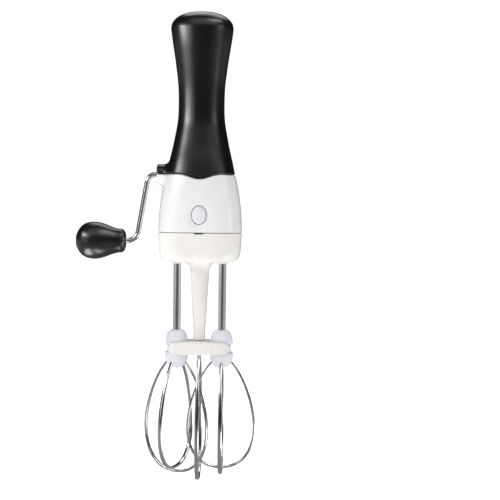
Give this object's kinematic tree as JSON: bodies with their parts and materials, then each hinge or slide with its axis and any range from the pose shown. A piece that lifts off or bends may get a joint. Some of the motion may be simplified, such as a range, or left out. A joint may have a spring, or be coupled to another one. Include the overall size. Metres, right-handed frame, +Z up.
{
  "type": "hand-crank egg beater",
  "caption": "Hand-crank egg beater: waisted grip, gear housing with side crank and knob, and a release button for a lift-off head with two counter-turning wire beaters.",
  "frame": {"origin": "on the grip's axis, at the middle of its waist", "axes": "+Z up along the grip, +X along the crank's axle away from the crank arm, -Y towards the front with the release button"},
  "size_m": [0.1133, 0.045, 0.2915],
  "materials": {
    "black_plastic": "satin gloss moulded",
    "white_plastic": "gloss moulded, warm white",
    "nylon": "fine grained, lilac white",
    "acetal": "plain moulded",
    "polished_steel": "polished stainless",
    "spring_steel": "bright zinc or spring steel"
  },
  "bodies": {
    "body": {"grip_shell": "black_plastic", "upper_housing": "white_plastic", "drive_plate": "acetal", "casing_screw_1": "spring_steel", "casing_screw_2": "spring_steel", "casing_screw_3": "spring_steel", "casing_screw_4": "spring_steel", "boss_bearing": "acetal", "end_bearing": "acetal", "latch_spring": "spring_steel"},
    "crank": {"crank_rod": "polished_steel", "crank_hub": "spring_steel", "left_crown_gear": "acetal", "right_crown_gear": "acetal", "gear_spacer": "acetal", "axle_clip": "spring_steel", "knob_pin_clip": "spring_steel"},
    "knob": {"crank_knob": "black_plastic", "knob_end_cap": "black_plastic"},
    "button": {"release_button": "nylon"},
    "left_drive": {"left_pinion": "acetal", "left_spindle": "spring_steel"},
    "right_drive": {"right_pinion": "acetal", "right_spindle": "spring_steel"},
    "head": {"head_shell": "white_plastic", "cross_link": "white_plastic", "stem_screw": "spring_steel", "centre_loop": "polished_steel", "left_shaft_bush": "acetal", "right_shaft_bush": "acetal"},
    "left_beater": {"left_shaft": "polished_steel", "left_shaft_clip": "spring_steel", "left_collar": "nylon", "left_wire_carrier": "nylon", "left_outer_loop": "polished_steel", "left_inner_loop": "polished_steel"},
    "right_beater": {"right_shaft": "polished_steel", "right_shaft_clip": "spring_steel", "right_collar": "nylon", "right_wire_carrier": "nylon", "right_outer_loop": "polished_steel", "right_inner_loop": "polished_steel"}
  },
  "joints": [
    {"name": "crank_spin", "type": "hinge", "parent": "body", "child": "crank", "pos_m": [0, 0, -0.0408], "axis": [1, 0, 0], "continuous": true},
    {"name": "knob_spin", "type": "hinge", "parent": "crank", "child": "knob", "pos_m": [-0.062, 0, -0.0825], "axis": [1, 0, 0], "continuous": true},
    {"name": "left_pinion_spin", "type": "hinge", "parent": "body", "child": "left_drive", "pos_m": [-0.01415, 0, -0.0509], "axis": [0, 0, 1], "continuous": true},
    {"name": "right_pinion_spin", "type": "hinge", "parent": "body", "child": "right_drive", "pos_m": [0.01415, 0, -0.0509], "axis": [0, 0, 1], "continuous": true},
    {"name": "button_press", "type": "slide", "parent": "body", "child": "button", "axis": [0, 1, 0], "range_m": [0, 0.0022], "stiffness_N_per_m": 300, "springref_m": -0.003, "deforming": ["latch_spring"]},
    {"name": "head_release", "type": "slide", "parent": "body", "child": "head", "axis": [0, 0, -1], "range_m": [0, 0.014], "deforming": ["latch_spring"]},
    {"name": "left_beater_spin", "type": "hinge", "parent": "head", "child": "left_beater", "pos_m": [-0.01415, 0, -0.1379], "axis": [0, 0, 1], "continuous": true},
    {"name": "right_beater_spin", "type": "hinge", "parent": "head", "child": "right_beater", "pos_m": [0.01415, 0, -0.1379], "axis": [0, 0, 1], "continuous": true}
  ],
  "couplings": [
    {"joint": "left_pinion_spin", "follows": "crank_spin", "ratio": 3.5},
    {"joint": "right_pinion_spin", "follows": "crank_spin", "ratio": -3.5},
    {"joint": "left_beater_spin", "follows": "crank_spin", "ratio": 3.5},
    {"joint": "right_beater_spin", "follows": "crank_spin", "ratio": -3.5}
  ]
}
